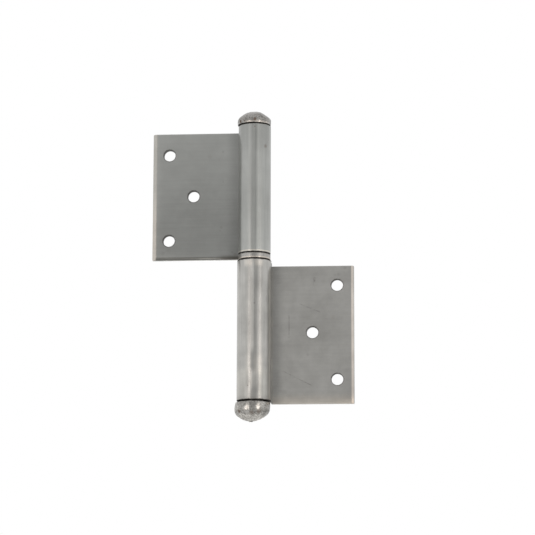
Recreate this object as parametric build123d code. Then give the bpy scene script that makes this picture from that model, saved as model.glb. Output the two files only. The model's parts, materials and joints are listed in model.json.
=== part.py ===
from build123d import *
import os
from math import acos, cos, degrees, radians, sin

# Lift-off hinge of rolled steel sheet, in millimetres.
# The hinge axis is the Z axis. The origin is where that axis crosses the lower knuckle's bearing face.
# The lower leaf reaches towards +X, the upper leaf towards -X. Each back is level with its knuckle's.

# Rolled sheet
sheet = 3.0                 # thickness of both leaves
upper_knuckle_r = 8.0       # outside radius of each knuckle; the lower one is rolled wider
lower_knuckle_r = 8.4
seam_gap = 0.3              # between the curled end and the leaf that it closes on
knuckle_edge = 0.5          # bevel of a knuckle's end edges, outside
bore_edge = 0.4             # bevel of a knuckle's end edges, inside
tab_inset = 0.3             # how far inside its radius a knuckle's own height of sheet ends

# Heights along the axis
lower_knuckle_h = 69.55
ring_h = 3.4
upper_knuckle_h = 64.8
upper_leaf_h = 64.3
lower_leaf_h = 68.45
upper_leaf_drop = 1.4       # upper leaf's edge below its knuckle's end, on the ring's side
lower_leaf_drop = 1.75      # lower leaf's edge below its knuckle's end, on the ring's side

# Leaves, seen from the front
upper_reach = 51.4          # from the axis to the long outer edge
lower_reach = 48.8
upper_bevel = 1.8           # width of the bevel planed along the long outer edge, on the front
lower_bevel = 1.3
bevel_depth = 1.2
low_edge_round = 1.2        # round that the shear left along the lowest edge, on the front
top_edge_break = 0.25       # broken edge along the top, on the front
back_edge = 0.3             # burr filed off along the back edges

# Screw holes, three in each leaf
hole_r = 2.9
hole_rim = 0.25             # broken edge of each hole, front and back
outer_hole_inset = 8.3      # from the long outer edge to the two outer holes
middle_hole_inset = 20.5    # from the long outer edge to the middle hole
hole_margin = 9.7           # from the leaf's edge on the ring's side to the nearest hole
upper_hole_pitch = 43.6
lower_hole_pitch = 46.8
upper_middle_rise = 22.5    # from the hole nearest the ring to the middle hole, along the axis
lower_middle_rise = 23.5

# Pin, stepped: pressed into the lower knuckle, free in the ring and the upper knuckle
running_gap = 0.05          # radial, between pin and the bores that turn on it
pin_up = 52.0               # above the bearing face
pin_nose = 1.2              # chamfer that finds the upper knuckle
pin_shoulder = 0.6          # below the bearing face, where the pressed part ends
pin_foot_gap = 1.0          # between the pin's foot and the lower cap's plug
ring_step = 0.05            # how much smaller than the upper knuckle the ring is, in radius
ring_edge = 0.4             # bevel of the ring's outer edges

# Domed caps, closed with a hammer. Heights are measured from the face that meets the knuckle.
cap_plug_h = 8.0            # stub pressed into the bore
cap_plug_nose = 0.6
cap_rim_edge = 0.35         # bevel of the rim's lower edge
cap_shoulder = 1.6          # round between side and dome
cap_dome_over = 2.0         # how much larger than the belly's radius the dome's ball is
upper_cap_seat = 0.3        # open line left between cap and knuckle
upper_cap_rim = 0.3         # how far the rim stands out past the knuckle, in radius
upper_cap_belly = 0.4       # the same at the widest place
upper_cap_belly_h = 1.3
upper_cap_h = 7.3
upper_cap_tip = -0.25       # the upper dome is struck flat on top by this much
upper_cap_shift = -0.25     # how far off the axis the head was closed, along X
lower_cap_seat = 0.8
lower_cap_rim = 0.1
lower_cap_belly = 0.35
lower_cap_belly_h = 2.0
lower_cap_h = 9.25
lower_cap_tip = 0.25        # the lower dome keeps a turned pip of this height
lower_cap_shift = -0.5
pip_r = 1.6
pip_edge = 0.12

# Hammer blows: flats that meet edge to edge over the dome, in rows from the shoulder to the crown
blow_rows = ((24, 15), (41, 13), (57, 10), (73, 6))  # tilt of a row's flats in degrees, how many
blow_depth = 0.08           # how far a flat's middle lies inside the ball
blow_depth_drift = 0.03     # how unevenly the blows fell: depth, then tilt and turn in degrees
blow_tilt_drift = 1.5
blow_turn_drift = 3.5
blow_step = 2.4             # radians from blow to blow in the drifts, so that they don't repeat
upper_cap_turn = 10.0       # how far round its axis each cap was turned when struck, in degrees
lower_cap_turn = 40.0

upper_bore_r = upper_knuckle_r - sheet
lower_bore_r = lower_knuckle_r - sheet
upper_base = ring_h
upper_top = upper_base + upper_knuckle_h
standing = (Align.CENTER, Align.CENTER, Align.MIN)


def wall_section(inner_r, outer_r, height, outer_edge, inner_edge):
    """Upright section of a round wall, with its outer and inner corners bevelled."""
    lowest = (Align.MIN, Align.MIN)
    wall = Pos(inner_r, 0) * Rectangle(outer_r - inner_r, height, align=lowest)
    wall = chamfer(wall.vertices().sort_by(Axis.X)[-2:], outer_edge)
    return chamfer(wall.vertices().sort_by(Axis.X)[:2], inner_edge)


def knuckle(height, knuckle_r):
    """Curled part of a leaf that reaches towards +X, with the strip of sheet that leads into it."""
    bore_r = knuckle_r - sheet
    wall = wall_section(bore_r, knuckle_r, height, knuckle_edge, bore_edge)
    curl = revolve(Plane.XZ * wall, Axis.Z)
    mouth = Pos(0, bore_r - seam_gap) * Box(
        2 * knuckle_r, 2 * knuckle_r, 3 * height, align=(Align.MIN, Align.MIN, Align.CENTER)
    )
    tab = extrude(Plane.YZ * wall, knuckle_r - tab_inset)
    return curl - mouth + tab


def screw_hole(x, front_y, z):
    """Cutter for one screw hole through the leaf, with its edges broken on both faces."""
    mouth_r = hole_r + hole_rim + sheet
    outline = Polyline(
        (0, -sheet),
        (mouth_r, -sheet),
        (hole_r, hole_rim),
        (hole_r, sheet - hole_rim),
        (mouth_r, 2 * sheet),
        (0, 2 * sheet),
        close=True,
    )
    return Pos(x, front_y, z) * revolve(make_face(outline), Axis.Y)


def flat(inner_x, reach, front_y, base, height, bevel):
    """Flat of a leaf: its plan, bevelled along the long outer edge, crossed with its upright section."""
    back_y = front_y + sheet
    plan = Polyline(
        (inner_x, front_y),
        (reach - bevel, front_y),
        (reach, front_y + bevel_depth),
        (reach, back_y - back_edge),
        (reach - back_edge, back_y),
        (inner_x, back_y),
        close=True,
    )
    section = Pos(front_y, base) * Rectangle(sheet, height, align=(Align.MIN, Align.MIN))
    section = chamfer(section.vertices().sort_by(Axis.X)[-2:], back_edge)
    section = fillet(section.vertices().sort_by(Axis.X)[:2].sort_by(Axis.Y)[0], low_edge_round)
    section = chamfer(section.vertices().sort_by(Axis.Y)[-2:].sort_by(Axis.X)[0], top_edge_break)
    column = Pos(0, 0, base - sheet) * extrude(make_face(plan), height + 2 * sheet)
    return column & extrude(Plane.YZ * section, 2 * reach)


def leaf(knuckle_r, knuckle_h, leaf_h, leaf_base, reach, bevel, near_hole_z, far_hole_z, middle_hole_z):
    """Half of the hinge in rolled sheet, reaching towards +X, with its knuckle standing on z = 0."""
    front_y = knuckle_r - sheet
    plate = flat(knuckle_r - tab_inset, reach, front_y, leaf_base, leaf_h, bevel)
    half = knuckle(knuckle_h, knuckle_r) + plate
    for z in (near_hole_z, far_hole_z):
        half -= screw_hole(reach - outer_hole_inset, front_y, z)
    half -= screw_hole(reach - middle_hole_inset, front_y, middle_hole_z)
    return half


def make_lower_leaf():
    leaf_top = lower_knuckle_h - lower_leaf_drop
    first = leaf_top - hole_margin
    half = leaf(
        lower_knuckle_r,
        lower_knuckle_h,
        lower_leaf_h,
        leaf_top - lower_leaf_h,
        lower_reach,
        lower_bevel,
        first,
        first - lower_hole_pitch,
        first - lower_middle_rise,
    )
    return Pos(0, 0, -lower_knuckle_h) * half


def make_upper_leaf():
    first = hole_margin - upper_leaf_drop
    half = leaf(
        upper_knuckle_r,
        upper_knuckle_h,
        upper_leaf_h,
        -upper_leaf_drop,
        upper_reach,
        upper_bevel,
        first,
        first + upper_hole_pitch,
        first + upper_middle_rise,
    )
    return Pos(0, 0, upper_base) * mirror(half, about=Plane.YZ)


def make_pin():
    """Turned pin: thicker where it is pressed in, a running fit above its shoulder."""
    foot = -lower_knuckle_h + cap_plug_h + pin_foot_gap
    running_r = upper_bore_r - running_gap
    outline = Polyline(
        (0, foot),
        (lower_bore_r - bore_edge, foot),
        (lower_bore_r, foot + bore_edge),
        (lower_bore_r, -pin_shoulder),
        (running_r, -pin_shoulder),
        (running_r, pin_up - pin_nose),
        (running_r - pin_nose, pin_up),
        (0, pin_up),
        close=True,
    )
    return revolve(make_face(Plane.XZ * outline), Axis.Z)


def make_ring():
    """Loose bearing ring between the two knuckles."""
    wall = wall_section(upper_bore_r, upper_knuckle_r - ring_step, ring_h, ring_edge, bore_edge)
    return revolve(Plane.XZ * wall, Axis.Z)


def cap_blank(rim_r, belly_r, belly_h, height):
    """Turned blank of a cap's head on z = 0: a bevelled rim that widens to a straight belly."""
    outline = Polyline(
        (0, 0),
        (rim_r - cap_rim_edge, 0),
        (rim_r, cap_rim_edge),
        (belly_r, belly_h),
        (belly_r, height),
        (0, height),
        close=True,
    )
    return revolve(make_face(Plane.XZ * outline), Axis.Z)


def hammered(head, belly_r, crown_h, turn):
    """Head struck round, in flats that lie on a ball and on a tighter round where it meets the belly."""
    size = 4 * belly_r
    waste = Box(size, size, size, align=(Align.MIN, Align.CENTER, Align.CENTER))
    cap_dome_r = belly_r + cap_dome_over
    centre_z = crown_h - cap_dome_r
    inner_r = cap_dome_r - cap_shoulder
    shoulder_end = degrees(acos((belly_r - cap_shoulder) / inner_r))
    for row_tilt, count in blow_rows:
        for i in range(count):
            tilt = row_tilt + blow_tilt_drift * sin(blow_step * i + turn)
            depth = blow_depth + blow_depth_drift * cos(blow_step * i + row_tilt)
            below = radians(max(0, shoulder_end - tilt))
            reach = cap_shoulder + inner_r * cos(below) - depth
            around = turn + row_tilt + 360 * i / count + blow_turn_drift * sin(blow_step * i + row_tilt)
            blow = (Pos(reach, 0, 0) * waste).rotate(Axis.Y, -tilt).rotate(Axis.Z, around)
            head -= Pos(0, 0, centre_z) * blow
    return head


def cap(knuckle_r, seat, rim, belly, belly_h, crown_h, tip, shift, turn):
    """Domed cap that closes the top of a knuckle at z = 0, with the plug that is pressed into the bore."""
    bore_r = knuckle_r - sheet
    belly_r = knuckle_r + belly
    blank = cap_blank(knuckle_r + rim, belly_r, belly_h, crown_h + min(0, tip))
    head = hammered(blank, belly_r, crown_h, turn)
    if tip > 0:
        pip = Cylinder(pip_r, crown_h + tip, align=standing)
        head += chamfer(pip.edges().filter_by(GeomType.CIRCLE).sort_by(Axis.Z)[-1], pip_edge)
    plug = Pos(0, 0, -cap_plug_h) * Cylinder(bore_r, cap_plug_h + seat, align=standing)
    plug = chamfer(plug.edges().filter_by(GeomType.CIRCLE).sort_by(Axis.Z)[0], cap_plug_nose)
    return Pos(shift, 0, seat) * head + plug


def make_upper_cap():
    closed = cap(
        upper_knuckle_r,
        upper_cap_seat,
        upper_cap_rim,
        upper_cap_belly,
        upper_cap_belly_h,
        upper_cap_h,
        upper_cap_tip,
        upper_cap_shift,
        upper_cap_turn,
    )
    return Pos(0, 0, upper_top) * closed


def make_lower_cap():
    closed = cap(
        lower_knuckle_r,
        lower_cap_seat,
        lower_cap_rim,
        lower_cap_belly,
        lower_cap_belly_h,
        lower_cap_h,
        lower_cap_tip,
        lower_cap_shift,
        lower_cap_turn,
    )
    return Pos(0, 0, -lower_knuckle_h) * closed.rotate(Axis.X, 180)


pieces = {
    "lower_leaf": make_lower_leaf,
    "upper_leaf": make_upper_leaf,
    "hinge_pin": make_pin,
    "bearing_ring": make_ring,
    "upper_cap": make_upper_cap,
    "lower_cap": make_lower_cap,
}

os.makedirs("parts", exist_ok=True)
for name, make in pieces.items():
    piece = make()
    print(name, round(piece.volume), "mm3", piece.bounding_box())
    export_step(piece, f"parts/{name}.step")
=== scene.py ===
import json
from math import atan2, cos, pi, radians, sin, sqrt, tan

import bmesh
import bpy
from mathutils import Matrix, Vector


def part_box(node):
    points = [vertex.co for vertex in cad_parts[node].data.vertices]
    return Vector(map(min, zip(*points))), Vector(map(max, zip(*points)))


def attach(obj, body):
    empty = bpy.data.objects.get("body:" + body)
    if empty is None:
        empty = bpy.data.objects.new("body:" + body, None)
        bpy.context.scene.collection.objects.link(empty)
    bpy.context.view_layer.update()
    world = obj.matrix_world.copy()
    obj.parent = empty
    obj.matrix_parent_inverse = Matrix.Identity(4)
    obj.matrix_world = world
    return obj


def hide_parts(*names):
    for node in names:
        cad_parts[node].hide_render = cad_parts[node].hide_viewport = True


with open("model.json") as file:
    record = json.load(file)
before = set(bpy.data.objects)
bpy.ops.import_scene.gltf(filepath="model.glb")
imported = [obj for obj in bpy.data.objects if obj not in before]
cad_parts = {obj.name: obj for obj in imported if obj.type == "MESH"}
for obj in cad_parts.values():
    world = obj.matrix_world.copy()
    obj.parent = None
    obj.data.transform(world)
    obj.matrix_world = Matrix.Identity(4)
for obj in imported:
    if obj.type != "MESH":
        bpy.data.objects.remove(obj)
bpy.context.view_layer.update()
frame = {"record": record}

mm = 0.001
mounts = {mount["name"]: mount for mount in frame["record"]["mounts"]}


# Helpers for working in edit mode

def dropSelection():
    bpy.ops.object.select_all(action="DESELECT")


def selectAll():
    bpy.ops.mesh.select_all(action="SELECT")


def makeActive(piece):
    dropSelection()
    bpy.context.view_layer.objects.active = piece
    piece.select_set(True)


def beginEdit(piece):
    makeActive(piece)
    bpy.ops.object.mode_set(mode="EDIT")
    bpy.ops.mesh.select_all(action="DESELECT")


def endEdit():
    bpy.ops.object.mode_set(mode="OBJECT")
    dropSelection()


def pick(piece, mode, test):
    # selects the faces or edges that pass a test
    bpy.ops.mesh.select_mode(type=mode)
    bpy.ops.mesh.select_all(action="DESELECT")
    mesh = bmesh.from_edit_mesh(piece.data)
    mesh.normal_update()
    parts = {"FACE": mesh.faces, "EDGE": mesh.edges}[mode]
    for part in parts:
        if test(part):
            part.select_set(True)
    bmesh.update_edit_mesh(piece.data)


def near(value, target, slack=0.004 * mm):
    return abs(value - target) < slack


def isSharp(edge, angle=50):
    # whether its two faces meet at more than the angle, in degrees
    return len(edge.link_faces) == 2 and edge.calc_face_angle() > radians(angle)


def roundEdges(piece, test, offset, steps):
    # bevels the sharp edges whose two ends pass the test
    pick(piece, "EDGE", lambda edge: isSharp(edge) and test(edge.verts[0].co, edge.verts[1].co))
    bpy.ops.mesh.bevel(offset=offset, segments=steps, profile=0.5, affect="EDGES", clamp_overlap=True)


def cutAway(place, normal):
    # cuts the selection at a plane, takes away what lies beyond it and closes the cut
    bpy.ops.mesh.bisect(plane_co=place, plane_no=normal, use_fill=True, clear_outer=True, threshold=1e-7)


def mergeDoubles(apart=0.002 * mm):
    selectAll()
    bpy.ops.mesh.remove_doubles(threshold=apart)


def applyModifier(piece, kind, **settings):
    makeActive(piece)
    modifier = piece.modifiers.new(kind.title(), kind)
    for key, value in settings.items():
        setattr(modifier, key, value)
    bpy.ops.object.modifier_apply(modifier=modifier.name)


def smoothFaces(piece, angle):
    # smooth shading that keeps flats flat beside their rounded edges
    makeActive(piece)
    bpy.ops.object.shade_smooth_by_angle(angle=radians(angle))
    applyModifier(piece, "WEIGHTED_NORMAL", mode="FACE_AREA", weight=100, keep_sharp=True)


# Leaves, each one sheet with its knuckle rolled at the side

leafShape = {
    "sheet": 3.0 * mm,
    "tabInset": 0.3 * mm,        # how far inside its radius the knuckle's own height of sheet ends
    "curlAngle": 342,            # degrees that the sheet is rolled through before its end is trimmed
    "curlSteps": 152,
    "seamGap": 0.3 * mm,
    "bevelDepth": 1.2 * mm,      # of the bevel planed along the long outer edge
    "cornerRound": 0.4 * mm,
    "cornerSteps": 3,
    "lowRound": 1.2 * mm,        # the shear's round along the lowest edge
    "lowSteps": 8,
    "topRound": 0.3 * mm,
    "topSteps": 3,
    "backRound": 0.3 * mm,
    "backSteps": 3,
    "endRound": 0.55 * mm,       # knuckle's end edges, outside
    "endSteps": 4,
    "boreBreak": 0.4 * mm,
    "boreSteps": 2,
    "holeRim": 0.22 * mm,
    "rimSteps": 3,
    "holeSteps": 72,
    "drillLength": 12.0 * mm,    # through the sheet, with room on both sides
    "smoothAngle": 40,
}

lowerLeaf = {
    "name": "lower_leaf_rolled",
    "node": "lower_leaf",
    "body": "lower_half",
    "side": 1,
    "bevel": 1.3 * mm,
    "leafLow": -70.2 * mm,
    "leafHigh": -1.75 * mm,
    "knuckleLow": -69.55 * mm,
    "knuckleHigh": 0,
}

upperLeaf = {
    "name": "upper_leaf_rolled",
    "node": "upper_leaf",
    "body": "upper_half",
    "side": -1,
    "bevel": 1.8 * mm,
    "leafLow": 2.0 * mm,
    "leafHigh": 66.3 * mm,
    "knuckleLow": 3.4 * mm,
    "knuckleHigh": 68.2 * mm,
}

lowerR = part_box("lower_leaf")[1].y
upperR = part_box("upper_leaf")[1].y
upperBoreR = upperR - leafShape["sheet"]


def addBlock(name, low, high):
    # a block between two corners, with its place in its mesh
    dropSelection()
    bpy.ops.mesh.primitive_cube_add(
        size=1,
        location=[(a + b) / 2 for a, b in zip(low, high)],
        scale=[b - a for a, b in zip(low, high)],
    )
    piece = bpy.context.object
    piece.name = name
    bpy.ops.object.transform_apply(location=True, rotation=True, scale=True)
    return piece


def curlSheet(leaf, shape, knuckleR):
    # a strip of sheet beside the axis, its end spun round the axis and trimmed where it meets the strip
    tabX = knuckleR - shape["tabInset"]
    boreR = knuckleR - shape["sheet"]
    ends = (leaf["knuckleLow"], leaf["knuckleHigh"])

    def onCurl(point):
        r = sqrt(point.x**2 + point.y**2)
        return near(r, boreR) or near(r, knuckleR)

    def besideStrip(face):
        # the curl's last faces, before the strip of sheet that it closes on
        middle = face.calc_center_median()
        return middle.x > 0 and middle.y > 0 and all(onCurl(corner.co) for corner in face.verts)

    piece = addBlock(leaf["name"], (0, boreR, ends[0]), (tabX, knuckleR, ends[1]))
    beginEdit(piece)
    pick(piece, "FACE", lambda face: near(face.calc_center_median().x, 0))
    bpy.ops.mesh.spin(
        steps=shape["curlSteps"], angle=radians(shape["curlAngle"]), center=(0, 0, 0), axis=(0, 0, -1)
    )
    pick(piece, "FACE", besideStrip)
    cutAway((0, boreR - shape["seamGap"], 0), (0, 1, 0))

    def atEnd(point):
        return near(point.z, ends[0]) or near(point.z, ends[1])

    def onSkin(point, r):
        return near(sqrt(point.x**2 + point.y**2), r) or (near(point.y, r) and point.x > 0)

    for r, offset, steps in (
        (knuckleR, shape["endRound"], shape["endSteps"]),
        (boreR, shape["boreBreak"], shape["boreSteps"]),
    ):
        roundEdges(
            piece, lambda a, b: atEnd(a) and atEnd(b) and onSkin(a, r) and onSkin(b, r), offset, steps
        )
    mergeDoubles()
    endEdit()
    return piece


def cutPlate(leaf, shape, reach, knuckleR):
    # the flat of the leaf: its long outer edge bevelled, its lowest edge rounded, the rest lightly broken
    tabX = knuckleR - shape["tabInset"]
    front = knuckleR - shape["sheet"]
    besideTab = tabX + 1.0 * mm    # the edges that join the knuckle stay sharp
    piece = addBlock("plate", (tabX, front, leaf["leafLow"]), (reach, knuckleR, leaf["leafHigh"]))
    beginEdit(piece)
    selectAll()
    cutAway((reach - leaf["bevel"], front, 0), (shape["bevelDepth"], -leaf["bevel"], 0))
    roundEdges(
        piece,
        lambda a, b: near(a.x, reach) and near(b.x, reach) and near(a.z, b.z),
        shape["cornerRound"],
        shape["cornerSteps"],
    )
    for height, offset, steps in (
        (leaf["leafLow"], shape["lowRound"], shape["lowSteps"]),
        (leaf["leafHigh"], shape["topRound"], shape["topSteps"]),
    ):
        roundEdges(
            piece,
            lambda a, b: near(a.z, height) and near(b.z, height) and near(a.y, front) and near(b.y, front),
            offset,
            steps,
        )
    roundEdges(
        piece,
        lambda a, b: near(a.y, knuckleR) and near(b.y, knuckleR) and max(a.x, b.x) > besideTab,
        shape["backRound"],
        shape["backSteps"],
    )
    endEdit()
    return piece


def holePlaces(node):
    # x and z of a leaf's three screw holes, where the part's mounts have them
    pattern = mounts[f"{node}_screws"]
    middle = mounts[f"{node}_middle_screw"]
    halfPitch = pattern["dims"]["spacing_y_mm"] * mm / 2
    x, _, z = pattern["pos_m"]
    return [(x, z - halfPitch), (x, z + halfPitch), (middle["pos_m"][0], middle["pos_m"][2])]


def drillLeaf(piece, leaf, shape, knuckleR):
    # three screw holes with their rims broken
    holeR = mounts[f"{leaf['node']}_screws"]["dims"]["hole_r_mm"] * mm
    places = [(abs(x), z) for x, z in holePlaces(leaf["node"])]
    for holeX, holeZ in places:
        dropSelection()
        bpy.ops.mesh.primitive_cylinder_add(
            vertices=shape["holeSteps"],
            radius=holeR,
            depth=shape["drillLength"],
            location=(holeX, knuckleR - shape["sheet"] / 2, holeZ),
            rotation=(pi / 2, 0, 0),
        )
        drill = bpy.context.object
        applyModifier(piece, "BOOLEAN", operation="DIFFERENCE", solver="EXACT", object=drill)
        bpy.data.objects.remove(drill)

    def onRim(point):
        offsets = [sqrt((point.x - holeX) ** 2 + (point.z - holeZ) ** 2) for holeX, holeZ in places]
        return any(near(offset, holeR, slack=0.02 * mm) for offset in offsets)

    beginEdit(piece)
    for faceY in (knuckleR - shape["sheet"], knuckleR):
        roundEdges(
            piece,
            lambda a, b: near(a.y, faceY) and near(b.y, faceY) and onRim(a) and onRim(b),
            shape["holeRim"],
            shape["rimSteps"],
        )


def makeLeaf(leaf, shape):
    # modelled towards +X, and mirrored where it reaches towards -X
    low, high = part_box(leaf["node"])
    reach = high.x if leaf["side"] > 0 else -low.x
    piece = curlSheet(leaf, shape, high.y)
    plate = cutPlate(leaf, shape, reach, high.y)
    applyModifier(piece, "BOOLEAN", operation="UNION", solver="EXACT", object=plate)
    bpy.data.objects.remove(plate)
    drillLeaf(piece, leaf, shape, high.y)
    mergeDoubles()
    if leaf["side"] < 0:
        bpy.ops.transform.resize(value=(-1, 1, 1), center_override=(0, 0, 0))
    bpy.ops.mesh.normals_make_consistent(inside=False)
    endEdit()
    smoothFaces(piece, shape["smoothAngle"])
    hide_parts(leaf["node"])
    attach(piece, leaf["body"])
    print("rolled", leaf["name"], len(piece.data.polygons), "faces")
    return piece


# Domed caps, closed with a hammer

capShape = {
    "steps": 192,
    "plugHeight": 8.0 * mm,
    "plugNose": 0.6 * mm,
    "plugRows": 3,               # rows of the outline that belong to the plug, which stays on the axis
    "rimRound": 0.35 * mm,
    "rimSteps": 5,
    "domeOver": 2.0 * mm,        # how much larger than the belly's radius the dome's ball is
    "bellySteps": 6,
    "shoulderSteps": 14,
    "domeSteps": 34,
    "poleR": 0.12 * mm,
    "pipFlare": 0.1 * mm,        # foot of the pip, past its side
    "pipRise": 0.02 * mm,
    "pipSide": 0.2 * mm,         # its side ends this far below the tip
    "pipEdge": 0.15 * mm,        # its edge is turned off this far in, and this far down
    "pipEdgeDrop": 0.04 * mm,
    "pipTop": 0.4 * mm,          # its flat top begins this far in
    "blowSize": 3.0 * mm,        # from blow to blow of the hammer
    "pitSize": 0.8 * mm,         # uneven skin between the blows
    "pitDepth": 0.12 * mm,
    "struckFrom": 0.6,           # where the blows begin, as a share of the belly's height
    "struckOver": 3.0 * mm,      # height over which the blows grow to their full depth
    "smoothAngle": 50,
}

upperCap = {
    "name": "upper_cap_domed",
    "node": "upper_cap",
    "body": "upper_half",
    "knuckleR": upperR,
    "seat": 0.3 * mm,            # open line between knuckle and cap
    "rim": 0.12 * mm,            # past the knuckle, in radius
    "belly": 0.4 * mm,
    "bellyHeight": 1.3 * mm,
    "shoulder": 1.8 * mm,
    "crown": 7.3 * mm,
    "shift": -0.25 * mm,         # how far off the axis the head was closed, along X
    "lean": 0.0,                 # further shift for each unit of height above the seat
    "flat": 0.25 * mm,           # struck flat on top by this much
    "pip": 0,
    "pipR": 0,
    "blowDepth": 0.36 * mm,
    "blowShift": (0.0013, 0.0004, 0.0007),    # moves the pattern of blows over the dome
}

lowerCap = {
    "name": "lower_cap_domed",
    "node": "lower_cap",
    "body": "lower_half",
    "knuckleR": lowerR,
    "seat": 0.8 * mm,
    "rim": 0.1 * mm,
    "belly": 0.35 * mm,
    "bellyHeight": 2.0 * mm,
    "shoulder": 3.4 * mm,
    "crown": 9.25 * mm,
    "shift": -0.45 * mm,
    "lean": -0.1,
    "flat": 0,
    "pip": 0.25 * mm,            # turned pip left at the tip
    "pipR": 1.0 * mm,
    "blowDepth": 0.22 * mm,
    "blowShift": (0.0002, 0.0011, 0.0016),
}


def arcPoints(centreR, centreZ, radius, start, end, steps):
    # points of an arc in radius and height, from start to end in radians, both included
    angles = [start + (end - start) * i / steps for i in range(steps + 1)]
    return [(centreR + radius * cos(angle), centreZ + radius * sin(angle)) for angle in angles]


def capOutline(cap, shape):
    # radius and height above the knuckle's end face, from the plug's foot to the crown
    seat = cap["seat"]
    rimR = cap["knuckleR"] + cap["rim"]
    bellyR = cap["knuckleR"] + cap["belly"]
    boreR = cap["knuckleR"] - leafShape["sheet"]
    rimRound, rimSteps = shape["rimRound"], shape["rimSteps"]
    shoulder = cap["shoulder"]
    domeR = bellyR + shape["domeOver"]
    domeZ = seat + cap["crown"] - domeR
    shoulderZ = domeZ + sqrt((domeR - shoulder) ** 2 - (bellyR - shoulder) ** 2)
    meet = atan2(shoulderZ - domeZ, bellyR - shoulder)
    outline = [
        (boreR - shape["plugNose"], -shape["plugHeight"]),
        (boreR, -shape["plugHeight"] + shape["plugNose"]),
        (boreR, seat),
    ]
    outline += arcPoints(rimR - rimRound, seat + rimRound, rimRound, -pi / 2, 0, rimSteps)
    low, high = seat + rimRound, shoulderZ
    for i in range(1, shape["bellySteps"]):
        share = i / shape["bellySteps"]
        outline.append((rimR + (bellyR - rimR) * sin(share * pi / 2), low + (high - low) * share))
    outline += arcPoints(bellyR - shoulder, shoulderZ, shoulder, 0, meet, shape["shoulderSteps"])
    dome = arcPoints(0, domeZ, domeR, meet, pi / 2, shape["domeSteps"])[1:-1]
    for r, z in dome:
        if r > shape["poleR"]:
            outline.append((r, min(z, seat + cap["crown"] - cap["flat"])))
    top = outline[-1][1]
    outline.append((shape["poleR"], top))
    if cap["pip"]:
        pipR = cap["pipR"]
        tip = seat + cap["crown"] + cap["pip"]
        outline = [point for point in outline if point[0] > pipR or point[1] < seat]
        outline += [
            (pipR + shape["pipFlare"], outline[-1][1] + shape["pipRise"]),
            (pipR, tip - shape["pipSide"]),
            (pipR - shape["pipEdge"], tip - shape["pipEdgeDrop"]),
            (pipR - shape["pipTop"], tip),
            (shape["poleR"], tip),
        ]
    return outline


def turnPiece(name, outline, steps, closed=False, centres=None):
    # a circle drawn out ring by ring along an outline of radius and height, with the rings' centres in X
    centres = centres or [0] * len(outline)
    dropSelection()
    bpy.ops.mesh.primitive_circle_add(
        vertices=steps,
        radius=outline[0][0],
        location=(0, 0, outline[0][1]),
        fill_type="NOTHING",
    )
    piece = bpy.context.object
    piece.name = name
    bpy.ops.object.transform_apply(location=True, rotation=True, scale=True)
    beginEdit(piece)
    bpy.ops.mesh.select_mode(type="EDGE")
    selectAll()
    for i, (r, z) in enumerate(outline[1:]):
        lastR, lastZ = outline[i]
        step = (centres[i + 1] - centres[i], 0, z - lastZ)
        bpy.ops.mesh.extrude_edges_move(TRANSFORM_OT_translate={"value": step})
        bpy.ops.transform.resize(value=(r / lastR, r / lastR, 1), center_override=(centres[i + 1], 0, z))
    if closed:
        mergeDoubles()
    else:
        pick(piece, "EDGE", lambda edge: edge.is_boundary)
        bpy.ops.mesh.fill_holes(sides=steps)
    selectAll()
    bpy.ops.mesh.normals_make_consistent(inside=False)
    endEdit()
    return piece


def strike(piece, kind, size, depth, shift, lowest, over, **settings):
    # dents from a texture, growing to their full depth above a height; gives back the deepest
    dents = bpy.data.textures.new(f"{piece.name}_{kind.lower()}", kind)
    dents.noise_scale = size
    for key, value in settings.items():
        setattr(dents, key, value)
    group = piece.vertex_groups.new(name="struck")
    for corner in piece.data.vertices:
        weight = min(1, max(0, (abs(corner.co.z) - lowest) / over))
        group.add([corner.index], weight, "REPLACE")
    before = [corner.co.copy() for corner in piece.data.vertices]
    piece.data.transform(Matrix.Translation(shift))
    applyModifier(
        piece,
        "DISPLACE",
        texture=dents,
        texture_coords="LOCAL",
        strength=depth,
        mid_level=1,
        vertex_group="struck",
    )
    piece.data.transform(Matrix.Translation([-value for value in shift]))
    piece.vertex_groups.clear()
    return max((corner.co - old).length for corner, old in zip(piece.data.vertices, before))


def makeCap(cap, shape, end, upwards):
    # end is the height of the knuckle's end face
    outline = capOutline(cap, shape)
    centres = [cap["shift"] + cap["lean"] * (z - cap["seat"]) for _, z in outline]
    centres[: shape["plugRows"]] = [0] * shape["plugRows"]
    piece = turnPiece(cap["name"], outline, shape["steps"], centres=centres)
    struckFrom = cap["seat"] + shape["struckFrom"] * cap["bellyHeight"]
    where = {"shift": cap["blowShift"], "lowest": struckFrom, "over": shape["struckOver"]}
    deepest = strike(
        piece, "VORONOI", shape["blowSize"], cap["blowDepth"], distance_metric="DISTANCE_SQUARED", **where
    )
    strike(piece, "CLOUDS", shape["pitSize"], shape["pitDepth"], **where)
    beginEdit(piece)
    selectAll()
    if not upwards:
        bpy.ops.transform.resize(value=(1, 1, -1), center_override=(0, 0, 0))
    bpy.ops.transform.translate(value=(0, 0, end))
    bpy.ops.mesh.normals_make_consistent(inside=False)
    endEdit()
    smoothFaces(piece, shape["smoothAngle"])
    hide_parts(cap["node"])
    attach(piece, cap["body"])
    print("struck", cap["name"], f"{deepest / mm:.2f} mm deep")
    return piece


# Bearing ring and pin

ringShape = {
    "steps": 160,
    "round": 0.4 * mm,
    "roundSteps": 6,
    "boreBreak": 0.4 * mm,
    "playLow": 0.25 * mm,        # open line left at the faces
    "playHigh": 0.12 * mm,
    "smoothAngle": 35,
}

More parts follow.
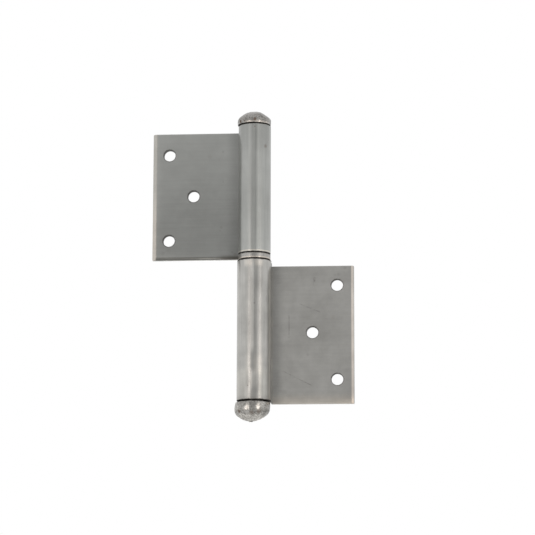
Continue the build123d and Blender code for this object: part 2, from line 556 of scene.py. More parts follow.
pinShape = {
    "steps": 128,
    "nose": 1.2 * mm,
    "noseSlope": pi / 4,
    "noseRound": 0.3 * mm,
    "noseSteps": 4,
    "poleR": 0.2 * mm,
    "foot": 0.4 * mm,
    "shoulder": 0.6 * mm,        # below the bearing face, where the pressed part ends
    "shoulderRound": 0.15 * mm,
    "shoulderSteps": 3,
    "play": 0.05 * mm,           # between the pin and the bore that turns on it
    "smoothAngle": 35,
}


def makeRing(shape):
    low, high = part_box("bearing_ring")
    r, edge, inner, boreR = high.x, shape["round"], shape["boreBreak"], upperBoreR
    bottom, top = low.z + shape["playLow"], high.z - shape["playHigh"]
    outline = [(boreR, bottom + inner), (boreR + inner, bottom)]
    outline += arcPoints(r - edge, bottom + edge, edge, -pi / 2, 0, shape["roundSteps"])
    outline += arcPoints(r - edge, top - edge, edge, 0, pi / 2, shape["roundSteps"])
    outline += [(boreR + inner, top), (boreR, top - inner), (boreR, bottom + inner)]
    piece = turnPiece("bearing_ring_turned", outline, shape["steps"], closed=True)
    smoothFaces(piece, shape["smoothAngle"])
    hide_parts("bearing_ring")
    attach(piece, "ring")
    print("turned the ring")
    return piece


def makePin(shape):
    low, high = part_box("hinge_pin")
    r, pressedR, pressedTop = upperBoreR - shape["play"], high.x, -shape["shoulder"]
    nose, slope, corner, steps = shape["nose"], shape["noseSlope"], shape["noseRound"], shape["noseSteps"]
    setBack = corner * tan(slope / 2)    # from a corner to where its round begins
    soft = shape["shoulderRound"]
    outline = [(pressedR - shape["foot"], low.z), (pressedR, low.z + shape["foot"])]
    outline += arcPoints(pressedR - soft, pressedTop - soft, soft, 0, pi / 2, shape["shoulderSteps"])
    outline += [(r, pressedTop)]
    outline += arcPoints(r - corner, high.z - nose - setBack, corner, 0, slope, steps)
    outline += arcPoints(r - nose - setBack, high.z - corner, corner, slope, pi / 2, steps)
    outline += [(shape["poleR"], high.z)]
    piece = turnPiece("hinge_pin_turned", outline, shape["steps"])
    smoothFaces(piece, shape["smoothAngle"])
    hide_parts("hinge_pin")
    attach(piece, "lower_half")
    print("turned the pin")
    return piece


# Shader node groups shared by the steels

def addNode(tree, kind, inputs=None, **settings):
    # a node with its settings, and its sockets given values or links
    node = tree.nodes.new(kind)
    for key, value in settings.items():
        setattr(node, key, value)
    for socket, value in (inputs or {}).items():
        if isinstance(value, bpy.types.NodeSocket):
            tree.links.new(value, node.inputs[socket])
        else:
            node.inputs[socket].default_value = value
    return node


def addMath(tree, operation, first, second=0.0, third=0.0, clamp=False):
    inputs = {0: first, 1: second, 2: third}
    return addNode(tree, "ShaderNodeMath", inputs, operation=operation, use_clamp=clamp).outputs[0]


def addVectorMath(tree, operation, first, second=None):
    inputs = {0: first} if second is None else {0: first, 1: second}
    return addNode(tree, "ShaderNodeVectorMath", inputs, operation=operation).outputs


def addFade(tree, value, start, end):
    # 0 at start, 1 at end, smooth between them
    node = addNode(
        tree,
        "ShaderNodeMapRange",
        {"Value": value, "From Min": start, "From Max": end, "To Min": 0.0, "To Max": 1.0},
        interpolation_type="SMOOTHSTEP",
    )
    return node.outputs["Result"]


def addMix(tree, share, first, second, blend="MIX"):
    # sockets 0, 6 and 7 and output 2 are the ones that a colour mix uses
    inputs = {0: share, 6: first, 7: second}
    return addNode(tree, "ShaderNodeMix", inputs, data_type="RGBA", blend_type=blend).outputs[2]


noiseMean = 0.5


def addNoise(tree, place, size, detail=2.0, stretch=None):
    # noise whose features are about as large as size, in metres
    if stretch:
        place = addNode(tree, "ShaderNodeMapping", {"Vector": place, "Scale": stretch}).outputs["Vector"]
    node = addNode(tree, "ShaderNodeTexNoise", {"Vector": place, "Scale": 1 / size, "Detail": detail})
    return node.outputs["Fac"]


def startGroup(name, inputs, outputs=("Mask",)):
    # an input without a value is a vector, and all other sockets are numbers
    group = bpy.data.node_groups.new(name, "ShaderNodeTree")
    for socketName, value in inputs.items():
        kind = "NodeSocketVector" if value is None else "NodeSocketFloat"
        socket = group.interface.new_socket(socketName, in_out="INPUT", socket_type=kind)
        if value is not None:
            socket.default_value = value
    for socketName in outputs:
        group.interface.new_socket(socketName, in_out="OUTPUT", socket_type="NodeSocketFloat")
    return group, group.nodes.new("NodeGroupInput").outputs, group.nodes.new("NodeGroupOutput")


def placeGroup(tree, group, inputs):
    return addNode(tree, "ShaderNodeGroup", inputs, node_tree=group).outputs


skinLook = {
    "broadSize": 26 * mm,        # clouds, broad and small
    "smallSize": 5 * mm,
    "broadShare": 0.65,
    "uprightSize": 0.9 * mm,     # drawn lines along the axis
    "uprightStretch": (1.0, 1.0, 0.035),
    "levelSize": 1.1 * mm,       # drawn lines along X
    "levelStretch": (0.04, 1.0, 1.0),
    "levelShare": 0.5,           # how strong they are beside the upright ones
    "turnWidth": 1.2 * mm,       # over which upright lines give way to level ones
    "tone": 0.5,                 # midway between dark and light
    "lineTone": 0.5,
    "cloudRoughness": -0.12,
    "lineHeight": 0.6,
    "grainHeight": 0.4,
}


def makeSteelSkin(look):
    # tone, roughness and height of bare steel: soft clouds, fine grain and drawn lines, which run along
    # the axis near it and along X from Flat X outwards
    group, given, result = startGroup(
        "steelSkin",
        {
            "Vector": None,
            "Offset": None,
            "Flat X": 1.0,
            "Clouds": 0.5,
            "Lines": 0.5,
            "Grain": 0.5,
            "Grain Size": 0.35 * mm,
            "Roughness": 0.3,
        },
        ("Tone", "Roughness", "Height"),
    )
    place = addVectorMath(group, "ADD", given["Vector"], given["Offset"])["Vector"]
    split = addNode(group, "ShaderNodeSeparateXYZ", {"Vector": given["Vector"]}).outputs
    beside = addMath(group, "ABSOLUTE", split["X"])
    allFlat = addMath(group, "ADD", given["Flat X"], look["turnWidth"])
    onFlat = addFade(group, beside, given["Flat X"], allFlat)
    broad = addNoise(group, place, look["broadSize"])
    small = addNoise(group, place, look["smallSize"], detail=3.0)
    upright = addNoise(group, place, look["uprightSize"], detail=3.0, stretch=look["uprightStretch"])
    level = addNoise(group, place, look["levelSize"], detail=3.0, stretch=look["levelStretch"])
    upright = addMath(group, "MULTIPLY", upright, addMath(group, "SUBTRACT", 1.0, onFlat))
    levelLift = noiseMean * (1 - look["levelShare"])
    level = addMath(group, "MULTIPLY_ADD", level, look["levelShare"], levelLift)
    lines = addMath(group, "MULTIPLY_ADD", level, onFlat, upright)
    grainScale = addMath(group, "DIVIDE", 1.0, given["Grain Size"])
    grain = addNode(group, "ShaderNodeTexNoise", {"Vector": place, "Scale": grainScale}).outputs["Fac"]
    broad = addMath(group, "MULTIPLY", broad, look["broadShare"])
    cloud = addMath(group, "ADD", broad, addMath(group, "MULTIPLY", small, 1 - look["broadShare"]))

    def aboutZero(noise, amount):
        return addMath(group, "MULTIPLY", addMath(group, "SUBTRACT", noise, noiseMean), amount)

    cloud = aboutZero(cloud, given["Clouds"])
    drawn = aboutZero(lines, given["Lines"])
    fine = aboutZero(grain, given["Grain"])
    tone = addMath(group, "ADD", cloud, addMath(group, "MULTIPLY", drawn, look["lineTone"]))
    tone = addMath(group, "ADD", addMath(group, "ADD", tone, fine), look["tone"], clamp=True)
    cloudRough = addMath(group, "MULTIPLY", cloud, look["cloudRoughness"])
    rough = addMath(group, "ADD", given["Roughness"], cloudRough)
    drawn = addMath(group, "MULTIPLY", drawn, look["lineHeight"])
    height = addMath(group, "ADD", drawn, addMath(group, "MULTIPLY", fine, look["grainHeight"]))
    group.links.new(tone, result.inputs["Tone"])
    group.links.new(rough, result.inputs["Roughness"])
    group.links.new(height, result.inputs["Height"])
    return group


scratchLook = {
    "wanderSize": 3 * mm,
    "softness": 1.5,             # how far a scratch fades out, in widths
    "gapSize": 1.6 * mm,
    "gapFade": (0.35, 0.6),      # a gap below the first level of its noise, none above the second
}


def makeScratchMark(look):
    # 1 along a line between two points, ragged and broken, 0 away from it
    group, given, result = startGroup(
        "scratchMark", {"Vector": None, "From": None, "To": None, "Width": 0.3 * mm, "Strength": 1.0}
    )
    run = addVectorMath(group, "SUBTRACT", given["To"], given["From"])["Vector"]
    offset = addVectorMath(group, "SUBTRACT", given["Vector"], given["From"])["Vector"]
    along = addMath(
        group,
        "DIVIDE",
        addVectorMath(group, "DOT_PRODUCT", offset, run)["Value"],
        addVectorMath(group, "DOT_PRODUCT", run, run)["Value"],
        clamp=True,
    )
    scale = addNode(group, "ShaderNodeVectorMath", {0: run, "Scale": along}, operation="SCALE")
    beside = addVectorMath(group, "SUBTRACT", offset, scale.outputs["Vector"])["Vector"]
    away = addVectorMath(group, "LENGTH", beside)["Value"]
    wander = addNoise(group, given["Vector"], look["wanderSize"])
    away = addMath(group, "ADD", away, addMath(group, "MULTIPLY", wander, given["Width"]))
    fade = addFade(group, away, addMath(group, "MULTIPLY", given["Width"], look["softness"]), 0.0)
    gaps = addNoise(group, given["Vector"], look["gapSize"], detail=3.0)
    broken = addFade(group, gaps, *look["gapFade"])
    mask = addMath(group, "MULTIPLY", addMath(group, "MULTIPLY", fade, broken), given["Strength"])
    group.links.new(mask, result.inputs["Mask"])
    return group


spotLook = {
    "raggedSize": 0.8 * mm,
    "raggedness": 1.5,           # how far the outline strays, in widths of its fading border
}


def makeSpotMark(look):
    # 1 within a ragged spot, 0 away from it
    group, given, result = startGroup(
        "spotMark", {"Vector": None, "Centre": None, "Radius": 0.5 * mm, "Core": 0.35, "Strength": 1.0}
    )
    away = addVectorMath(group, "DISTANCE", given["Vector"], given["Centre"])["Value"]
    core = addMath(group, "MULTIPLY", given["Radius"], given["Core"])
    ragged = addNoise(group, given["Vector"], look["raggedSize"], detail=3.0)
    ragged = addMath(group, "SUBTRACT", ragged, noiseMean)
    border = addMath(group, "SUBTRACT", given["Radius"], core)
    border = addMath(group, "MULTIPLY", border, look["raggedness"])
    away = addMath(group, "MULTIPLY_ADD", ragged, border, away)
    fade = addFade(group, away, given["Radius"], core)
    group.links.new(addMath(group, "MULTIPLY", fade, given["Strength"]), result.inputs["Mask"])
    return group


grimeLook = {
    "unevenSize": 1.2 * mm,
    "softness": 1.6,             # how far the dirt fades out, in reaches
    "outerFade": 0.5 * mm,
}


def makeCreviceGrime(look):
    # 1 close to a joint between two pieces, at a height on the axis, with an uneven border
    group, given, result = startGroup(
        "creviceGrime",
        {"Vector": None, "Joint": 0.0, "Reach": 0.4 * mm, "Strength": 1.0, "Outer": 9.4 * mm},
    )
    split = addNode(group, "ShaderNodeSeparateXYZ", {"Vector": given["Vector"]}).outputs
    away = addMath(group, "ABSOLUTE", addMath(group, "SUBTRACT", split["Z"], given["Joint"]))
    flat = addVectorMath(group, "MULTIPLY", given["Vector"], (1, 1, 0))["Vector"]
    outward = addVectorMath(group, "LENGTH", flat)["Value"]
    inner = addMath(group, "SUBTRACT", given["Outer"], look["outerFade"])
    inside = addFade(group, outward, given["Outer"], inner)
    uneven = addNoise(group, given["Vector"], look["unevenSize"], detail=3.0)
    away = addMath(group, "ADD", away, addMath(group, "MULTIPLY", uneven, given["Reach"]))
    fade = addFade(group, away, addMath(group, "MULTIPLY", given["Reach"], look["softness"]), 0.0)
    mask = addMath(group, "MULTIPLY", fade, given["Strength"], clamp=True)
    group.links.new(addMath(group, "MULTIPLY", mask, inside), result.inputs["Mask"])
    return group


def makePatchMark():
    # 1 inside a box about a centre, fading over a soft border, for painted highlights, reflections and
    # shade
    group, given, result = startGroup(
        "patchMark", {"Vector": None, "Centre": None, "Half": None, "Soft": None}
    )
    offset = addVectorMath(group, "SUBTRACT", given["Vector"], given["Centre"])["Vector"]
    offset = addVectorMath(group, "ABSOLUTE", offset)["Vector"]
    beyond = addVectorMath(group, "SUBTRACT", offset, given["Half"])["Vector"]
    share = addVectorMath(group, "DIVIDE", beyond, given["Soft"])["Vector"]
    split = addNode(group, "ShaderNodeSeparateXYZ", {"Vector": share}).outputs
    sides = [addFade(group, split[axis], 1.0, 0.0) for axis in "XYZ"]
    mask = addMath(group, "MULTIPLY", addMath(group, "MULTIPLY", sides[0], sides[1]), sides[2])
    group.links.new(mask, result.inputs["Mask"])
    return group


# Materials

steelSkin = makeSteelSkin(skinLook)
scratchMark = makeScratchMark(scratchLook)
spotMark = makeSpotMark(spotLook)
creviceGrime = makeCreviceGrime(grimeLook)
patchMark = makePatchMark()

inks = {
    "scratch": (0.17, 0.16, 0.15, 1),
    "rust": (0.12, 0.07, 0.043, 1),
    # dark joints, and painted shade in and around the screw holes
    "grimeAndShade": (0.02, 0.014, 0.01, 1),
    # painted highlight: a light base colour laid where the lamps' highlights fall on the lower cap
    "paintedHighlight": (0.86, 0.80, 0.74, 1),
}
dirtInks = ("rust", "grimeAndShade")
dirtAndShadeLook = {
    "dulling": 0.9,              # how much of the metal the dirt and the painted hole shade hide
    "roughening": 0.45,
}
allTurned = 1.0                  # flatX of a turned piece: far past it, so no line turns level

lowerSheet = {
    "name": "sheet_steel_lower",
    "dark": (0.268, 0.263, 0.249, 1),
    "light": (0.550, 0.543, 0.518, 1),
    "flatX": 8.2 * mm,
    "clouds": 1.4,
    "lines": 0.9,
    "grain": 0.2,
    "grainSize": 0.5 * mm,
    "roughness": 0.30,
    "bump": 0.018 * mm,
    "shift": (0.0, 0.0, 0.0),
    "paintedLightPatches": [                 # painted highlights, painted reflections and painted shade: centre, half size and soft border in mm, then tint
        # painted highlight on the outer bevel, painted shade beside it and in the crease by the knuckle,
        # painted highlights along the lowest edge
        ((48.0, 6.0, -36), (0.5, 0.8, 40), (0.2, 0.3, 1), (1.34, 1.25, 1.19)),
        ((48.9, 7.0, -36), (0.15, 2, 40), (0.3, 0.3, 1), (0.85, 0.85, 0.85)),
        ((8.4, 5.4, -36), (1.0, 0.3, 40), (6.0, 0.5, 1), (0.78, 0.78, 0.78)),
        ((28.7, 6.5, -70.4), (19.5, 2.5, 0.8), (0.8, 1, 5.4), (1.27, 1.207, 1.144)),
        ((46, 6.5, -70.4), (2.5, 2.5, 0.6), (5, 1, 3), (1.12, 1.10, 1.08)),
        # painted reflections and painted shade down the knuckle: lighter highlight stripes and darker bands
        ((-2.2, -8, -52.5), (0.7, 3, 2), (1.3, 3, 5), (1.09, 1.08, 1.07)),
        ((-2.2, -8, -59), (0.9, 3, 2), (1.2, 3, 5), (0.88, 0.88, 0.88)),
        ((-2.2, -8, -12), (0.9, 3, 4), (1.2, 3, 7), (0.91, 0.91, 0.91)),
        ((2.9, -8, -9), (1.1, 3, 4), (1.3, 3, 7), (0.80, 0.80, 0.80)),
        ((-5.6, -6, -61.5), (2.2, 4, 4.5), (1.4, 3, 4.5), (1.27, 1.26, 1.24)),
        ((0.6, -8, -59.5), (1.0, 3, 2), (1.2, 3, 4), (1.34, 1.33, 1.32)),
        ((5.0, -6, -61.5), (1.5, 4, 4.5), (1.2, 3, 4.5), (1.12, 1.12, 1.10)),
        ((-2.2, -8, -38), (0.6, 3, 6), (0.9, 3, 6), (0.88, 0.88, 0.88)),
        ((-0.25, -8, -23), (0.45, 3, 20), (0.75, 3, 5), (1.40, 1.39, 1.38)),
        ((-0.9, -8, -60), (0.5, 3, 3), (0.6, 3, 4), (1.25, 1.24, 1.23)),
        ((-1.9, -8, -3), (0.4, 3, 3), (0.6, 3, 6), (0.88, 0.88, 0.88)),
        ((2.9, -8, -52.5), (1.2, 3, 2), (1.8, 3, 5), (1.18, 1.16, 1.14)),
        ((2.9, -8, -62), (1.1, 3, 3), (1.4, 3, 4), (0.88, 0.88, 0.88)),
        ((-2.2, -8, -2.2), (1.2, 3, 0.5), (1.5, 3, 2), (1.28, 1.24, 1.20)),
        ((2.9, -8, -2.2), (1.2, 3, 0.5), (1.5, 3, 2), (1.28, 1.24, 1.20)),
        # painted shade at the knuckle's lower end
        ((0, -6.5, -69.5), (9, 4, 0.4), (1, 3, 2.4), (0.90, 0.89, 0.88)),
    ],
    "scratches": [               # from, to and width in mm, then strength
        ((29.4, 5.4, -7.9), (29.3, 5.4, -10.9), 1.0, 0.75),
        ((13.9, 5.4, -54.1), (28.6, 5.4, -61.6), 0.42, 0.75),
        ((22.2, 5.4, -20.8), (32.1, 5.4, -24.9), 0.40, 0.65),
        ((16.8, 5.4, -26.3), (16.8, 5.4, -39.2), 0.32, 0.75),
        ((0.6, -8.4, -4.0), (0.7, -8.4, -22.0), 0.30, 0.50),
    ],
    "spots": [                   # centre and radius in mm, then strength and ink
        ((-2.3, -8.1, -62.8), 0.35, 0.8, "rust"),
        ((0.8, -8.4, -22.4), 0.6, 0.5, "scratch"),
        ((26.1, 5.4, -46.0), 0.9, 0.20, "scratch"),
        ((14.4, 5.4, -64.4), 1.6, 0.16, "scratch"),
        ((12.4, 5.4, -63.6), 1.0, 0.14, "scratch"),
        ((41.2, 5.4, -6.2), 1.1, 0.20, "scratch"),
        ((39.6, 5.4, -6.4), 0.8, 0.14, "scratch"),
        ((37.5, 5.4, -17.4), 3.0, 0.11, "scratch"),
        ((38.5, 5.4, -27.4), 1.4, 0.10, "rust"),
        ((44.4, 5.4, -3.0), 1.0, 0.16, "scratch"),
    ],
    "holes": "lower_leaf",
    "joints": [(-0.05, 0.60, 3.0), (-69.6, 0.50, 1.8)],    # height and reach in mm, then strength
}

upperSheet = {
    "name": "sheet_steel_upper",
    "dark": (0.262, 0.266, 0.253, 1),
    "light": (0.516, 0.522, 0.503, 1),
    "flatX": 7.8 * mm,
    "clouds": 0.8,
    "lines": 0.9,
    "grain": 0.15,
    "grainSize": 0.5 * mm,
    "roughness": 0.30,
    "bump": 0.018 * mm,
    "shift": (0.031, 0.007, 0.013),
    # painted highlights, painted reflections and painted shade, each a centre, half size and soft border in
    # mm, then tint: a lighter bevel, a shaded crease by the knuckle, painted shade towards the bottom, the
    # knuckle's painted reflections and shade, and a painted highlight on its lower end edge
    "paintedLightPatches": [
        ((-50.6, 5.6, 34), (1.15, 0.8, 40), (0.25, 0.3, 1), (1.14, 1.09, 1.05)),
        ((-50.6, 5.6, 8), (1.15, 0.8, 8), (0.25, 0.3, 26), (1.24, 1.19, 1.17)),
        ((-8.0, 5.0, 34), (1.0, 0.3, 40), (6.5, 0.5, 1), (0.79, 0.79, 0.79)),
        ((-28.8, 5.0, 2), (20.5, 0.4, 2), (0.6, 0.5, 62), (0.76, 0.76, 0.76)),
        ((-28.8, 5.6, 2), (20.5, 1.2, 1.1), (0.6, 0.8, 0.5), (0.60, 0.59, 0.57)),
        ((-11, 5.6, 2), (3, 1.2, 1.2), (6, 0.8, 1.6), (0.72, 0.70, 0.68)),
        ((0, -4, 46), (9, 6, 22), (1, 1, 22), (0.92, 0.92, 0.92)),
        ((0.3, -8, 34), (0.35, 3, 40), (0.6, 3, 1), (1.12, 1.12, 1.11)),
        ((2.1, -8, 34), (0.3, 3, 40), (0.7, 3, 1), (1.18, 1.18, 1.17)),
        ((-4.2, -6, 64), (1.2, 4, 5), (1.5, 3, 12), (0.88, 0.88, 0.88)),
        ((4.2, -6, 64), (2.4, 4, 5), (1.4, 3, 12), (0.83, 0.83, 0.83)),
        ((0, -4, 4.1), (9, 6, 0.12), (1, 1, 0.3), (1.55, 1.44, 1.34)),
    ],
    "scratches": [
        ((-16.2, 5.0, 43.6), (-16.2, 5.0, 41.2), 0.4, 0.6),
        ((-49.3, 5.0, 3.0), (-49.3, 5.0, 22.0), 0.3, 0.45),
    ],
    "spots": [
        ((5.8, -5.5, 56.9), 1.3, 0.35, "rust"),
        ((-16.3, 5.0, 56.8), 0.8, 0.22, "scratch"),
        ((-17.0, 5.0, 18.2), 0.9, 0.22, "scratch"),
        ((-17.6, 5.0, 16.6), 0.7, 0.16, "scratch"),
        ((-22.9, 5.0, 54.3), 1.6, 0.07, "rust"),
        ((-9.9, 5.0, 4.4), 1.1, 0.40, "scratch"),
        ((-11.4, 5.0, 5.6), 0.8, 0.30, "scratch"),
        ((-43.1, 5.0, 7.1), 1.6, 0.13, "scratch"),
        ((-46.0, 5.0, 5.4), 1.2, 0.15, "scratch"),
        ((0.7, -8.0, 66.3), 0.6, 0.5, "rust"),
    ],
    "holes": "upper_leaf",
    "joints": [(3.25, 0.55, 3.0), (68.2, 0.45, 2.5)],
}

# painted shade: darkens each screw hole's wall and a ring around it
holeShade = {"Radius": 3.5 * mm, "Core": 0.86, "Strength": 0.75}


def scaled(point):
    return [value * mm for value in point]


def makeSteel(look):
    # bare steel from its dictionary: skin, painted highlights, reflections and shade in soft boxes,
    # scratches, painted shade in and around the screw holes, spots with painted highlights among them, and
    # dirty joints
    material = bpy.data.materials.new(look["name"])
    material.use_nodes = True
    tree = material.node_tree
    shader = tree.nodes["Principled BSDF"]
    place = addNode(tree, "ShaderNodeTexCoord").outputs["Object"]
    skin = placeGroup(
        tree,
        steelSkin,
        {
            "Vector": place,
            "Offset": look["shift"],
            "Flat X": look["flatX"],
            "Clouds": look["clouds"],
            "Lines": look["lines"],
            "Grain": look["grain"],
            "Grain Size": look["grainSize"],
            "Roughness": look["roughness"],
        },
    )
    color = addMix(tree, skin["Tone"], look["dark"], look["light"])
    dirtAndShade = 0.0                   # or the mask of all dirt and painted hole shade so far
    # painted highlights, painted reflections and painted shade, tinted into the colour inside soft boxes
    for centre, half, soft, tint in look.get("paintedLightPatches", []):
        box = {"Centre": scaled(centre), "Half": scaled(half), "Soft": scaled(soft)}
        mask = placeGroup(tree, patchMark, {"Vector": place, **box})["Mask"]
        color = addMix(tree, mask, color, (*tint, 1), "MULTIPLY")
    for start, end, width, strength in look.get("scratches", []):
        line = {"From": scaled(start), "To": scaled(end), "Width": width * mm, "Strength": strength}
        mask = placeGroup(tree, scratchMark, {"Vector": place, **line})["Mask"]
        color = addMix(tree, mask, color, inks["scratch"])
    if "holes" in look:
        # painted shade in and around each screw hole, which also dulls the metal there
        onFront = addVectorMath(tree, "MULTIPLY", place, (1, 0, 1))["Vector"]
        for x, z in holePlaces(look["holes"]):
            mask = placeGroup(tree, spotMark, {"Vector": onFront, "Centre": (x, 0, z), **holeShade})["Mask"]
            color = addMix(tree, mask, color, inks["grimeAndShade"])
            dirtAndShade = addMath(tree, "MAXIMUM", mask, dirtAndShade)
    for centre, radius, strength, ink in look.get("spots", []):
        spot = {"Centre": scaled(centre), "Radius": radius * mm, "Strength": strength}
        mask = placeGroup(tree, spotMark, {"Vector": place, **spot})["Mask"]
        color = addMix(tree, mask, color, inks[ink])
        if ink in dirtInks:
            dirtAndShade = addMath(tree, "MAXIMUM", mask, dirtAndShade)
    for joint, reach, strength in look.get("joints", []):
        line = {"Joint": joint * mm, "Reach": reach * mm, "Strength": strength}
        mask = placeGroup(tree, creviceGrime, {"Vector": place, **line})["Mask"]
        color = addMix(tree, mask, color, inks["grimeAndShade"])
        dirtAndShade = addMath(tree, "MAXIMUM", mask, dirtAndShade)
    rough = skin["Roughness"]
    shader.inputs["Metallic"].default_value = 1.0
    if dirtAndShade:
        dulled = addMath(tree, "SUBTRACT", 1.0, addMath(tree, "MULTIPLY", dirtAndShade, dirtAndShadeLook["dulling"]))
        tree.links.new(dulled, shader.inputs["Metallic"])
        dirtAndShadeRough = addMath(tree, "MULTIPLY", dirtAndShade, dirtAndShadeLook["roughening"])
        rough = addMath(tree, "ADD", rough, dirtAndShadeRough, clamp=True)
    bump = addNode(tree, "ShaderNodeBump", {"Height": skin["Height"], "Distance": look["bump"]})
    tree.links.new(color, shader.inputs["Base Color"])
    tree.links.new(rough, shader.inputs["Roughness"])
    tree.links.new(bump.outputs["Normal"], shader.inputs["Normal"])
    return material


capSteel = {
    "name": "cap_steel",
    "dark": (0.20, 0.195, 0.185, 1),
    "light": (0.58, 0.57, 0.55, 1),
    "flatX": allTurned,
    "clouds": 2.6,
    "lines": 0.0,
    "grain": 2.0,
    "grainSize": 0.8 * mm,
    "roughness": 0.27,
    "bump": 0.05 * mm,
    "shift": (0.003, 0.011, 0.005),
    "spots": [
        ((0.8, -8.3, 70.1), 1.1, 0.85, "rust"),
        ((-6.7, -5.3, 69.6), 1.1, 0.9, "rust"),
        ((-4.6, -7.2, 69.5), 0.6, 0.8, "rust"),
        ((-2.5, -6.0, 73.6), 0.6, 0.7, "scratch"),
        ((0.5, -5.0, 74.6), 0.5, 0.8, "scratch"),
        ((3.4, -6.3, 72.6), 0.8, 0.5, "scratch"),
        ((-6.8, -6.1, -75.3), 1.3, 0.8, "rust"),
        ((3.2, -7.1, -75.7), 1.7, 0.5, "rust"),
        ((-0.4, -7.7, -76.3), 1.8, 0.5, "rust"),
        ((-3.9, -7.0, -76.8), 1.0, 0.7, "scratch"),
        ((-0.4, -8.7, -71.9), 0.9, 0.35, "scratch"),
        ((6.0, -5.6, -72.4), 0.6, 0.6, "scratch"),
        ((-0.9, -0.6, -79.8), 1.4, 0.6, "scratch"),
        # painted highlights on the lower cap's belly, where the lamps are reflected
        ((-3.0, -8.4, -73.4), 1.5, 0.2, "paintedHighlight"),
        ((-3.9, -8.0, -74.5), 1.2, 0.25, "paintedHighlight"),
        ((2.65, -8.1, -73.5), 1.6, 0.2, "paintedHighlight"),
        ((3.1, -8.0, -74.6), 1.2, 0.2, "paintedHighlight"),
    ],
    # painted light and shade: the domes darker on top, the lower cap lighter at its tip, and painted
    # highlights on the upper cap's belly just above its seat
    "paintedLightPatches": [
        ((0, 0, 73), (9, 9, 3), (1, 1, 1.2), (0.70, 0.69, 0.68)),
        ((0, -1, 74.8), (5.5, 9, 1.8), (2, 1, 1.5), (0.88, 0.87, 0.87)),
        ((0, 0, -72.5), (9, 9, 2), (1, 1, 2), (0.95, 0.94, 0.92)),
        ((0, 0, -79.5), (9, 9, 2), (1, 1, 2.4), (1.60, 1.57, 1.53)),
        ((-1.4, -8, 69.1), (2.4, 3, 0.25), (1.2, 2, 0.4), (1.25, 1.18, 1.12)),
        ((4.2, -8, 69.1), (2.4, 3, 0.25), (1.2, 2, 0.4), (1.25, 1.18, 1.12)),
    ],
    "joints": [(68.4, 0.50, 3.0), (-70.2, 0.45, 1.6)],
}

ringSteel = {
    "name": "ring_steel",
    "dark": (0.26, 0.25, 0.235, 1),
    "light": (0.46, 0.45, 0.43, 1),
    "flatX": allTurned,
    "clouds": 1.5,
    "lines": 0.0,
    "grain": 1.2,
    "grainSize": 0.6 * mm,
    "roughness": 0.28,
    "bump": 0.02 * mm,
    "shift": (0.02, 0.004, 0.0),
    # a painted highlight along the ring's lower rounded edge
    "paintedLightPatches": [
        ((0, -4, 0.85), (9, 6, 0.12), (1, 1, 0.3), (1.55, 1.44, 1.34)),
    ],
    "joints": [(0.2, 0.40, 3.0), (3.3, 0.70, 3.0)],
}

pinSteel = {
    "name": "pin_steel",
    "dark": (0.42, 0.42, 0.41, 1),
    "light": (0.58, 0.58, 0.57, 1),
    "flatX": allTurned,
    "clouds": 0.6,
    "lines": 0.4,
    "grain": 0.2,
    "grainSize": 0.35 * mm,
    "roughness": 0.2,
    "bump": 0.006 * mm,
    "shift": (0.0, 0.0, 0.04),
}


# The part

lowerRolled = makeLeaf(lowerLeaf, leafShape)
upperRolled = makeLeaf(upperLeaf, leafShape)
topDome = makeCap(upperCap, capShape, upperLeaf["knuckleHigh"], True)
bottomDome = makeCap(lowerCap, capShape, lowerLeaf["knuckleLow"], False)
ring = makeRing(ringShape)
pin = makePin(pinShape)

capMaterial = makeSteel(capSteel)
for piece, material in (
    (lowerRolled, makeSteel(lowerSheet)),
    (upperRolled, makeSteel(upperSheet)),
    (topDome, capMaterial),
    (bottomDome, capMaterial),
    (ring, makeSteel(ringSteel)),
    (pin, makeSteel(pinSteel)),
):
    piece.data.materials.clear()
    piece.data.materials.append(material)
print("materials done")


# Floor, light and camera

studio = {
    "floorZ": -0.40,
    "floorSize": 12.0,
    "floorColor": (0.86, 0.86, 0.85, 1),
    "floorRoughness": 0.8,
    "ambient": 0.85,             # the world's strength as light, where the seen one is 1
    "cardDistance": 1.7,
    "cardWidth": 2.3,
    "cardLow": -0.40,
    "cardHigh": 1.5,
    "cardTone": 0.60,            # in the middle, where 1 is white
    "cardSideFade": (0.18, 0.5),    # to white, outwards from the middle, in widths
    "cardTopFade": (0.1, 0.5),      # upwards, in heights
    "stripDistance": 0.8,
    "stripWidth": 0.16,
    "stripHigh": 0.10,
    "stripColor": (1.0, 0.93, 0.88),
    "strips": {                  # degrees from the front towards +X, radiance in whites, lower end
        "strip_left": (-28, 2.8, -0.38),
        "strip_right": (44, 2.6, -0.38),
        "strip_back": (184.5, 2.4, -0.12),
    },
}

photo = {
    "turn": 4.517,               # camera's place round the object, in degrees towards +X
    "height": -10.988,           # below the horizontal
    "roll": 0.1563,
    "distance": 1152.1 * mm,
    "target": (6.526 * mm, 0, -3.306 * mm),
    "lens": 157.53,
    "sensor": 36,
    "clipStart": 0.05,
}


def aroundAxis(turn, distance, z):
    # a place seen at a turn from the front, in degrees towards +X
    return Vector((distance * sin(radians(turn)), -distance * cos(radians(turn)), z))


def lookFrom(place, target, roll=0):
    # rotation of something at place that faces target
    back = (place - target).normalized()
    side = Vector((0, 0, 1)).cross(back).normalized()
    up = back.cross(side)
    turned = Matrix((side, up, back)).transposed()
    return (turned @ Matrix.Rotation(roll, 3, "Z")).to_euler()


def addStrip(name, turn, light, low):
    height = studio["stripHigh"] - low
    lamp = bpy.data.lights.new(name, "AREA")
    lamp.shape = "RECTANGLE"
    lamp.size = studio["stripWidth"]
    lamp.size_y = height
    lamp.energy = light * pi * studio["stripWidth"] * height
    lamp.color = studio["stripColor"]
    strip = bpy.data.objects.new(name, lamp)
    place = aroundAxis(turn, studio["stripDistance"], low + height / 2)
    strip.location = place
    strip.rotation_euler = lookFrom(place, Vector((0, 0, place.z)))
    strip.visible_camera = False
    strip.visible_diffuse = False    # no pool of light on the floor
    bpy.context.collection.objects.link(strip)


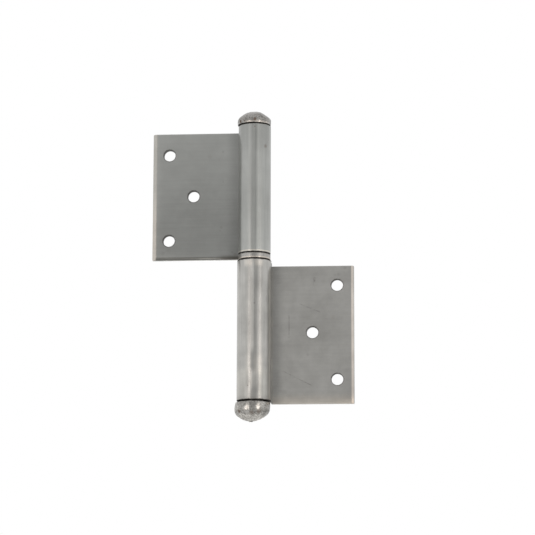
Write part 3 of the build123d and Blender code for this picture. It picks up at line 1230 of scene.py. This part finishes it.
def addCard(name, turn):
    # a grey card far outside the view, darker in the middle, that only reflections show
    dropSelection()
    bpy.ops.mesh.primitive_plane_add(size=1)
    card = bpy.context.object
    card.name = name
    height = studio["cardHigh"] - studio["cardLow"]
    card.scale = (studio["cardWidth"], height, 1)
    card.location = aroundAxis(turn, studio["cardDistance"], studio["cardLow"] + height / 2)
    card.rotation_euler = lookFrom(card.location, Vector((0, 0, card.location.z)))
    card.visible_camera = False
    card.visible_diffuse = False
    card.visible_shadow = False
    material = bpy.data.materials.new(name)
    material.use_nodes = True
    tree = material.node_tree
    tree.nodes.clear()
    place = addNode(tree, "ShaderNodeTexCoord").outputs["Object"]
    split = addNode(tree, "ShaderNodeSeparateXYZ", {"Vector": place})
    sideFade = addFade(tree, addMath(tree, "ABSOLUTE", split.outputs["X"]), *studio["cardSideFade"])
    topFade = addFade(tree, split.outputs["Y"], *studio["cardTopFade"])
    fade = addMath(tree, "MAXIMUM", sideFade, topFade)
    tone = addMath(tree, "ADD", addMath(tree, "MULTIPLY", fade, 1 - studio["cardTone"]), studio["cardTone"])
    glow = addNode(tree, "ShaderNodeEmission", {"Strength": tone})
    addNode(tree, "ShaderNodeOutputMaterial", {"Surface": glow.outputs[0]})
    card.data.materials.append(material)


dropSelection()
bpy.ops.mesh.primitive_plane_add(size=studio["floorSize"], location=(0, 0, studio["floorZ"]))
floor = bpy.context.object
floor.name = "floor"
floorPaint = bpy.data.materials.new("floor_paint")
floorPaint.use_nodes = True
floorShader = floorPaint.node_tree.nodes["Principled BSDF"]
floorShader.inputs["Base Color"].default_value = studio["floorColor"]
floorShader.inputs["Roughness"].default_value = studio["floorRoughness"]
floor.data.materials.append(floorPaint)

world = bpy.data.worlds.new("studio")
bpy.context.scene.world = world
world.use_nodes = True
sky = world.node_tree
sky.nodes.clear()
path = addNode(sky, "ShaderNodeLightPath").outputs
seen = addMath(sky, "MAXIMUM", path["Is Camera Ray"], path["Is Glossy Ray"])
seen = addMath(sky, "MAXIMUM", seen, path["Is Transmission Ray"])
level = addMath(sky, "ADD", addMath(sky, "MULTIPLY", seen, 1 - studio["ambient"]), studio["ambient"])
light = addNode(sky, "ShaderNodeBackground", {"Color": (1, 1, 1, 1), "Strength": level})
addNode(sky, "ShaderNodeOutputWorld", {"Surface": light.outputs[0]})

for name, (turn, light, low) in studio["strips"].items():
    addStrip(name, turn, light, low)
addCard("front_card", 0)
addCard("back_card", 180)

camera = bpy.data.objects.new("camera", bpy.data.cameras.new("camera"))
bpy.context.collection.objects.link(camera)
target = Vector(photo["target"])
away = photo["distance"] * cos(radians(photo["height"]))
rise = photo["distance"] * sin(radians(photo["height"]))
camera.location = target + aroundAxis(photo["turn"], away, rise)
camera.rotation_euler = lookFrom(camera.location, target, radians(photo["roll"]))
camera.data.sensor_width = photo["sensor"]
camera.data.lens = photo["lens"]
camera.data.clip_start = photo["clipStart"]
bpy.context.scene.camera = camera
bpy.context.scene.view_settings.view_transform = "Standard"
print("studio ready")
